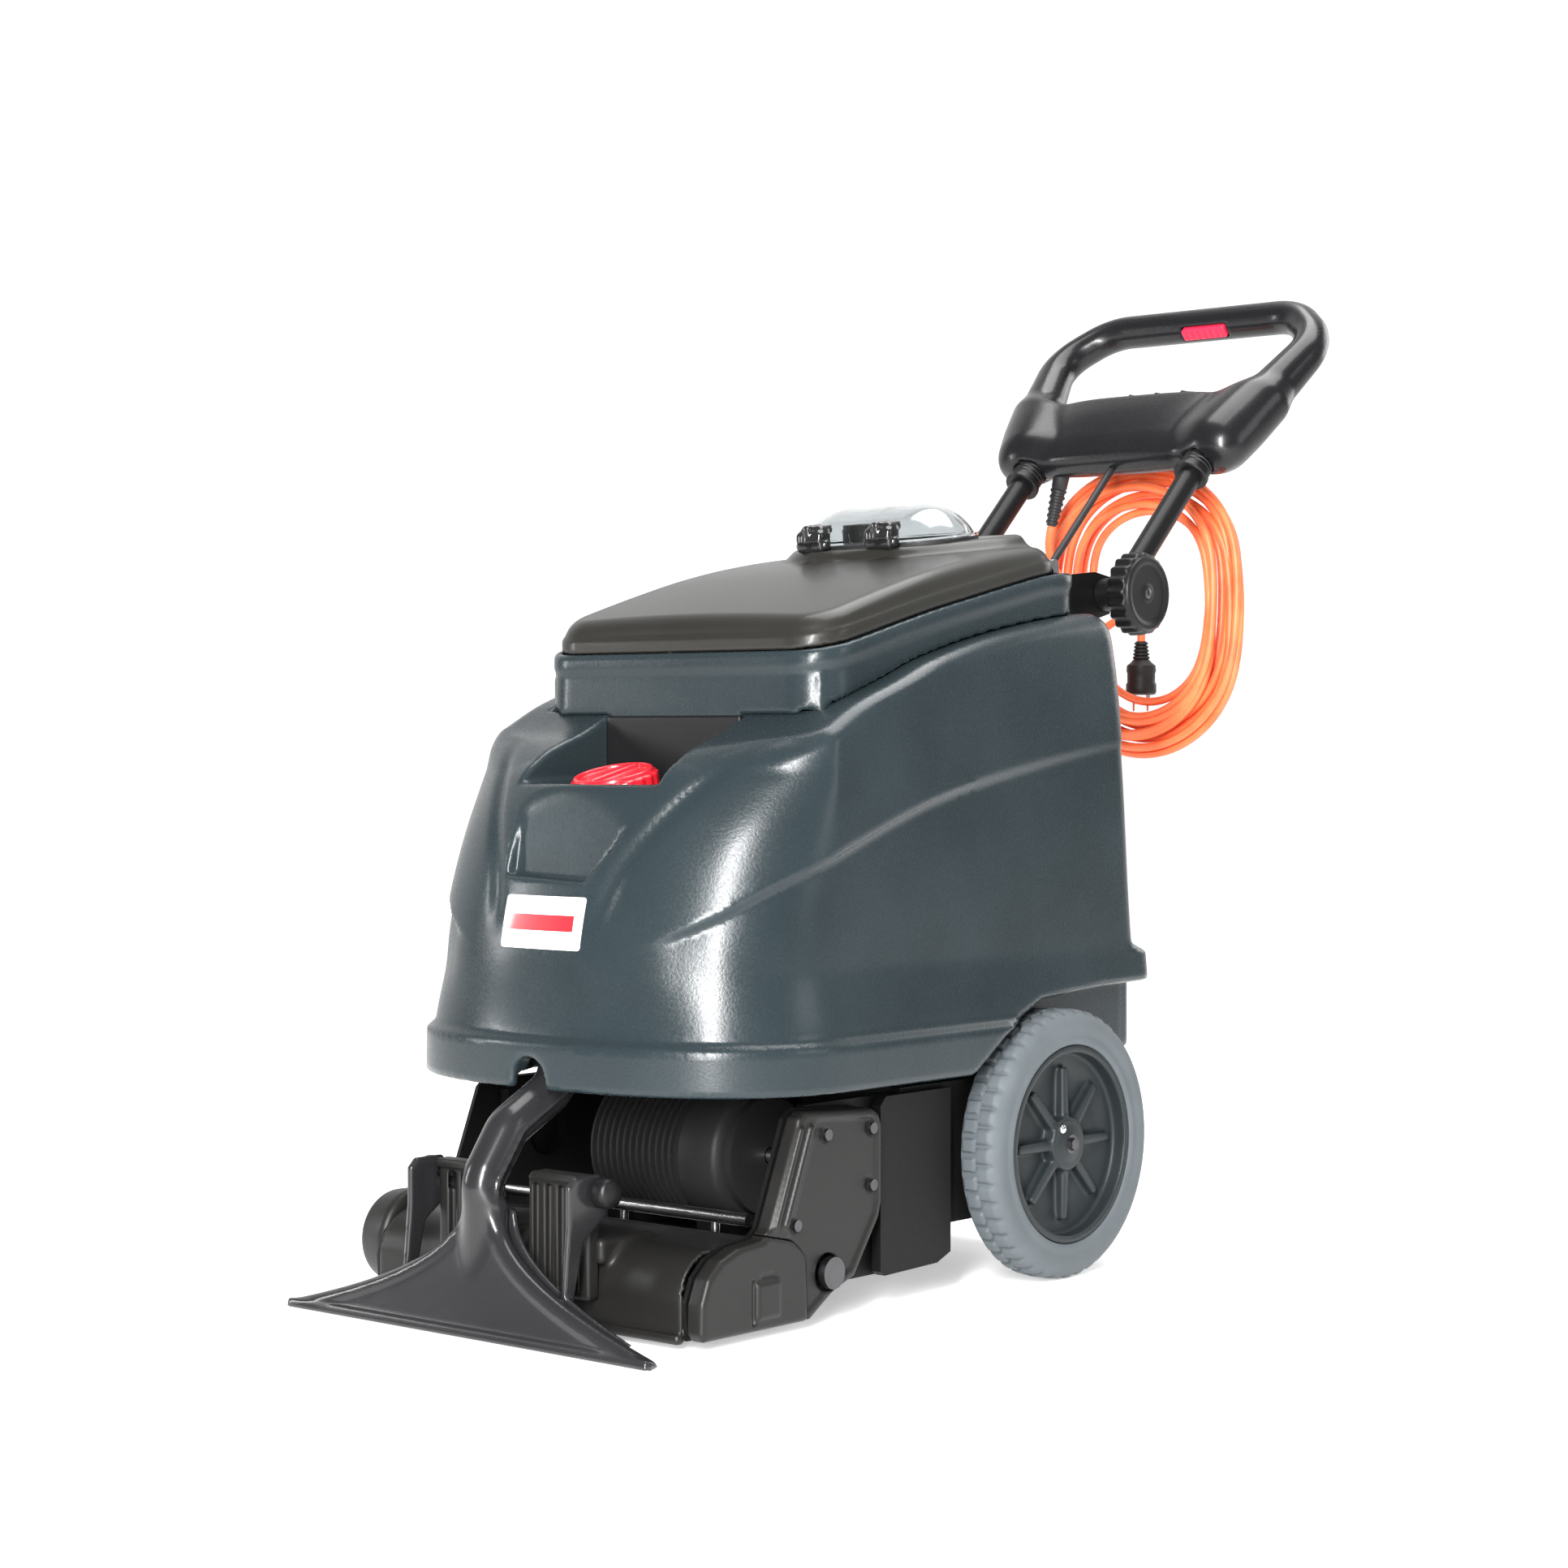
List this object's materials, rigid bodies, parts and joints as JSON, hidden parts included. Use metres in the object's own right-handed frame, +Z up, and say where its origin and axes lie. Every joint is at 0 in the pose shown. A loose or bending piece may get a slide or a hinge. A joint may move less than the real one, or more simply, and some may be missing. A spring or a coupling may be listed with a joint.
{
  "type": "carpet cleaner machine",
  "caption": "Walk-behind carpet cleaning machine with a moulded body, hinged lid, brush deck, vacuum shoe, transport wheels and a folding handle with its power cord.",
  "frame": {"origin": "on the floor, in the middle of the length and width of the machine without its cord", "axes": "+Z up, +X to the machine's right side, the vacuum shoe at -Y and the handle at +Y"},
  "size_m": [0.472, 1.1679, 0.9894],
  "materials": {
    "tank_plastic": "textured rotomoulded polyethylene, slate grey, semi-gloss",
    "lid_plastic": "satin moulded plastic, warm charcoal",
    "clear_plastic": "clear moulded polycarbonate",
    "seal_rubber": "soft black rubber",
    "black_plastic": "fine-grained black moulded plastic",
    "gloss_black": "semi-gloss black moulded plastic",
    "red_plastic": "red moulded plastic",
    "badge": "off-white printed plate",
    "chassis_steel": "black powder coat on steel",
    "tyre_rubber": "grey non-marking rubber",
    "rim_plastic": "dark grey moulded plastic",
    "steel": "bright zinc plated steel",
    "motor_casing": "black painted casting",
    "belt_rubber": "toothed black rubber",
    "bristle": "nylon bristles on a moulded core",
    "hose_rubber": "black reinforced hose",
    "float_plastic": "hollow orange plastic ball",
    "cord": "orange PVC sheath"
  },
  "bodies": {
    "chassis": {"chassis_tray": "chassis_steel", "chassis_sides": "chassis_steel", "chassis_deck": "chassis_steel", "pivot_shaft": "steel", "wheel_axle": "steel", "axle_bolts": "steel", "solution_tank": "tank_plastic", "recovery_tank": "tank_plastic", "badge_plate": "badge", "filler_neck": "black_plastic", "lid_hinge_pin": "steel", "vac_motor": "motor_casing", "water_pump": "motor_casing", "suction_pipe": "hose_rubber", "drain_hose": "hose_rubber", "handle_bracket": "chassis_steel"},
    "cap": {"filler_cap": "red_plastic"},
    "wheel_left": {"tyre_left": "tyre_rubber", "rim_left": "rim_plastic"},
    "wheel_right": {"tyre_right": "tyre_rubber", "rim_right": "rim_plastic"},
    "lid": {"lid_shell": "lid_plastic", "dome": "clear_plastic", "dome_seal": "seal_rubber", "float_cage": "black_plastic"},
    "float": {"float_ball": "float_plastic"},
    "clip_left": {"dome_clip_left": "gloss_black"},
    "clip_right": {"dome_clip_right": "gloss_black"},
    "deck": {"deck_arms": "chassis_steel", "belt_cover": "black_plastic", "brush_end_cap": "black_plastic", "brush_housing": "black_plastic", "motor_cradle": "chassis_steel", "brush_motor": "motor_casing", "drive_belt": "belt_rubber", "cover_screws": "steel", "shoe_brackets": "black_plastic", "spray_bar": "steel"},
    "brush": {"brush_roller": "bristle", "brush_pulley": "steel"},
    "motor_rotor": {"motor_pulley": "steel"},
    "shoe": {"shoe_front": "gloss_black", "shoe_back": "gloss_black"},
    "shoe_knob_left": {"shoe_knob_left": "black_plastic"},
    "shoe_knob_right": {"shoe_knob_right": "black_plastic"},
    "handle": {"handle_tubes": "chassis_steel", "tube_sockets": "black_plastic", "control_housing": "gloss_black", "grip_loop": "gloss_black", "strain_relief": "hose_rubber", "control_cable": "hose_rubber", "cord_lead": "cord", "cord_hank": "cord", "mains_plug": "black_plastic"},
    "knob_left": {"handle_knob_left": "black_plastic"},
    "knob_right": {"handle_knob_right": "black_plastic"},
    "switch_left": {"switch_left": "gloss_black"},
    "switch_middle": {"switch_middle": "gloss_black"},
    "switch_right": {"switch_right": "gloss_black"},
    "trigger": {"trigger": "red_plastic"}
  },
  "joints": [
    {"name": "cap_turn", "type": "hinge", "parent": "chassis", "child": "cap", "pos_m": [0, -0.3845, 0.454], "axis": [0, -0.2419, 0.9703], "range_deg": [0, 150]},
    {"name": "wheel_left_spin", "type": "hinge", "parent": "chassis", "child": "wheel_left", "pos_m": [0, -0.01, 0.127], "axis": [1, 0, 0], "continuous": true},
    {"name": "wheel_right_spin", "type": "hinge", "parent": "chassis", "child": "wheel_right", "pos_m": [0, -0.01, 0.127], "axis": [1, 0, 0], "continuous": true},
    {"name": "lid_hinge", "type": "hinge", "parent": "chassis", "child": "lid", "pos_m": [0, 0.08, 0.677], "axis": [-1, 0, 0], "range_deg": [0, 70]},
    {"name": "float_rise", "type": "slide", "parent": "lid", "child": "float", "axis": [0, -0.1392, 0.9903], "range_m": [0, 0.017]},
    {"name": "clip_left_flip", "type": "hinge", "parent": "lid", "child": "clip_left", "pos_m": [-0.043, -0.05734, 0.69469], "axis": [1, 0, 0], "range_deg": [0, 60]},
    {"name": "clip_right_flip", "type": "hinge", "parent": "lid", "child": "clip_right", "pos_m": [0.043, -0.05734, 0.69469], "axis": [1, 0, 0], "range_deg": [0, 60]},
    {"name": "deck_float", "type": "hinge", "parent": "chassis", "child": "deck", "pos_m": [0, -0.336, 0.046], "axis": [-1, 0, 0], "range_deg": [0, 1.5]},
    {"name": "brush_spin", "type": "hinge", "parent": "deck", "child": "brush", "pos_m": [0, -0.432, 0.036], "axis": [1, 0, 0], "continuous": true},
    {"name": "motor_spin", "type": "hinge", "parent": "deck", "child": "motor_rotor", "pos_m": [0, -0.3, 0.135], "axis": [1, 0, 0], "continuous": true},
    {"name": "shoe_height", "type": "slide", "parent": "deck", "child": "shoe", "axis": [0, 0, 1], "range_m": [0, 0.006]},
    {"name": "shoe_knob_left_turn", "type": "hinge", "parent": "shoe", "child": "shoe_knob_left", "pos_m": [-0.109, -0.511, 0.125], "axis": [1, 0, 0], "range_deg": [0, 180]},
    {"name": "shoe_knob_right_turn", "type": "hinge", "parent": "shoe", "child": "shoe_knob_right", "pos_m": [0.109, -0.511, 0.125], "axis": [1, 0, 0], "range_deg": [0, 180]},
    {"name": "handle_fold", "type": "hinge", "parent": "chassis", "child": "handle", "pos_m": [0, 0.24, 0.655], "axis": [-1, 0, 0], "range_deg": [-100, 15]},
    {"name": "knob_left_turn", "type": "hinge", "parent": "chassis", "child": "knob_left", "pos_m": [-0.136, 0.24, 0.655], "axis": [1, 0, 0], "range_deg": [0, 180]},
    {"name": "knob_right_turn", "type": "hinge", "parent": "chassis", "child": "knob_right", "pos_m": [0.136, 0.24, 0.655], "axis": [1, 0, 0], "range_deg": [0, 180]},
    {"name": "switch_left_rock", "type": "hinge", "parent": "handle", "child": "switch_left", "pos_m": [-0.014, 0.45173, 0.87337], "axis": [0, -0.6947, 0.7193], "range_deg": [0, 10]},
    {"name": "switch_middle_rock", "type": "hinge", "parent": "handle", "child": "switch_middle", "pos_m": [0.02, 0.45173, 0.87337], "axis": [0, -0.6947, 0.7193], "range_deg": [0, 10]},
    {"name": "switch_right_rock", "type": "hinge", "parent": "handle", "child": "switch_right", "pos_m": [0.054, 0.45173, 0.87337], "axis": [0, -0.6947, 0.7193], "range_deg": [0, 10]},
    {"name": "trigger_press", "type": "slide", "parent": "handle", "child": "trigger", "axis": [0, 0.7193, 0.6947], "range_m": [0, 0.004], "stiffness_N_per_m": 400, "springref_m": -0.002}
  ],
  "couplings": [
    {"joint": "motor_spin", "follows": "brush_spin", "ratio": 1.5}
  ]
}
